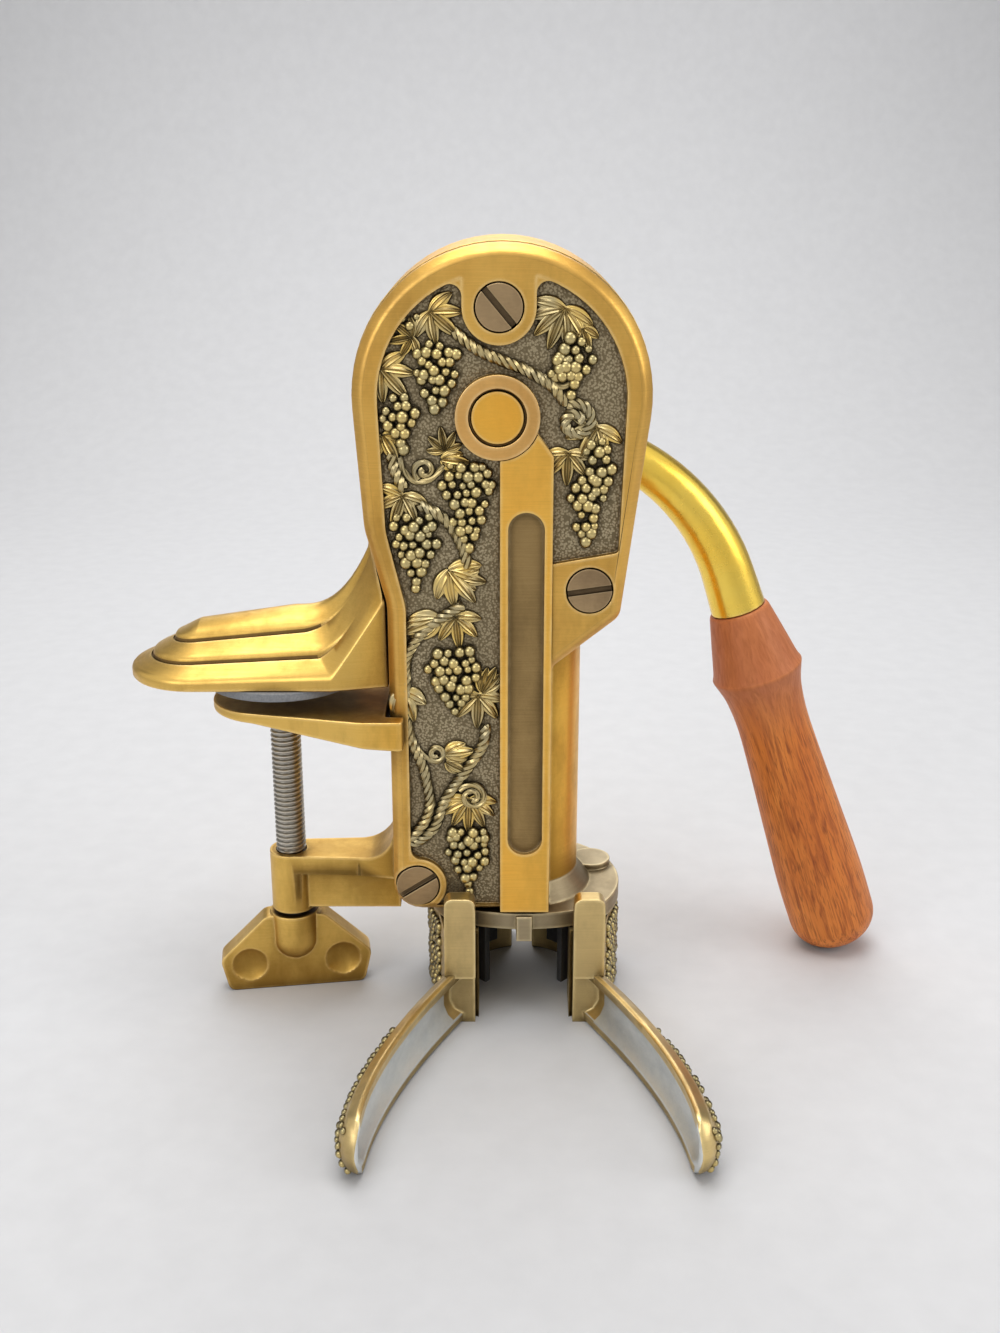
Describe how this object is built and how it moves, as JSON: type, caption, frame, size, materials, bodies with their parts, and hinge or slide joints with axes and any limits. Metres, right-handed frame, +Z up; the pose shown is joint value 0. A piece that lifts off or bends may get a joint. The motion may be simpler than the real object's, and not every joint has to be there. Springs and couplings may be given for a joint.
{
  "type": "countertop corkscrew",
  "caption": "Countertop corkscrew: a lever drives a worm in a domed housing, two spring-open grips hold the bottle's neck, and a screw clamp fixes it to a counter's edge.",
  "frame": {"origin": "on the worm's axis at the mouth of the bell, where a bottle's lip goes in", "axes": "+Z up along the worm, +X to the lever's side, the decorated cover faces -Y"},
  "size_m": [0.2795, 0.17, 0.2749],
  "materials": {
    "antique_brass": "antique finish, worn to gold on the edges",
    "bright_brass": "polished",
    "dark_bronze": "dark patina",
    "steel": "plain machined",
    "spring_steel": "drawn wire",
    "wood": "satin varnish, reddish brown",
    "black_plastic": "matte",
    "black_rubber": "matte",
    "grey_rubber": "matte"
  },
  "bodies": {
    "frame": {"main_casting": "antique_brass", "cover_plate": "antique_brass", "cover_screws": "dark_bronze", "clamp_shoe": "antique_brass", "shoe_bolts": "steel", "shoe_pad": "grey_rubber", "neck_guide": "black_plastic", "worm_nut": "bright_brass", "nut_retainer": "steel", "retainer_screws": "steel", "grip_pins": "steel", "left_grip_spring": "spring_steel", "right_grip_spring": "spring_steel"},
    "lever": {"gear_shaft": "antique_brass", "pinion_gear": "steel", "lever_arm": "bright_brass", "lever_screw": "dark_bronze", "handle_stud": "steel", "wood_handle": "wood"},
    "carriage": {"rack_carriage": "steel", "thrust_washer": "bright_brass"},
    "worm_assembly": {"worm": "steel", "worm_clip": "spring_steel"},
    "left_grip_body": {"left_grip": "antique_brass", "left_jaw_pad": "black_rubber"},
    "right_grip_body": {"right_grip": "antique_brass", "right_jaw_pad": "black_rubber"},
    "jaw": {"clamp_jaw": "antique_brass"},
    "clamp_screw_body": {"clamp_screw": "steel", "wing_knob": "antique_brass"}
  },
  "joints": [
    {"name": "lever_swing", "type": "hinge", "parent": "frame", "child": "lever", "pos_m": [-0.0095, 0, 0.1845], "axis": [0, -1, 0], "range_deg": [0, 180]},
    {"name": "rack_slide", "type": "slide", "parent": "frame", "child": "carriage", "axis": [0, 0, -1], "range_m": [0, 0.0425]},
    {"name": "worm_spin", "type": "hinge", "parent": "carriage", "child": "worm_assembly", "pos_m": [0, 0, 0], "axis": [0, 0, -1], "range_deg": [0, 1527]},
    {"name": "left_grip_hinge", "type": "hinge", "parent": "frame", "child": "left_grip_body", "pos_m": [-0.026, 0.012, 0], "axis": [0, 0, 1], "range_deg": [0, 8], "stiffness_Nm_per_rad": 0.5, "springref_deg": -5.73},
    {"name": "right_grip_hinge", "type": "hinge", "parent": "frame", "child": "right_grip_body", "pos_m": [0.026, 0.012, 0], "axis": [0, 0, -1], "range_deg": [0, 8], "stiffness_Nm_per_rad": 0.5, "springref_deg": -5.73},
    {"name": "jaw_slide", "type": "slide", "parent": "frame", "child": "jaw", "axis": [0, 0, 1], "range_m": [-0.0421, 0]},
    {"name": "screw_turn", "type": "hinge", "parent": "jaw", "child": "clamp_screw_body", "pos_m": [-0.0864, -0.004, 0], "axis": [0, 0, 1], "range_deg": [-8335, 0]}
  ],
  "couplings": [
    {"joint": "rack_slide", "follows": "lever_swing", "m_per_rad": 0.0135},
    {"joint": "worm_spin", "follows": "lever_swing", "ratio": 8.4823},
    {"joint": "jaw_slide", "follows": "screw_turn", "m_per_rad": 0.00028874}
  ]
}
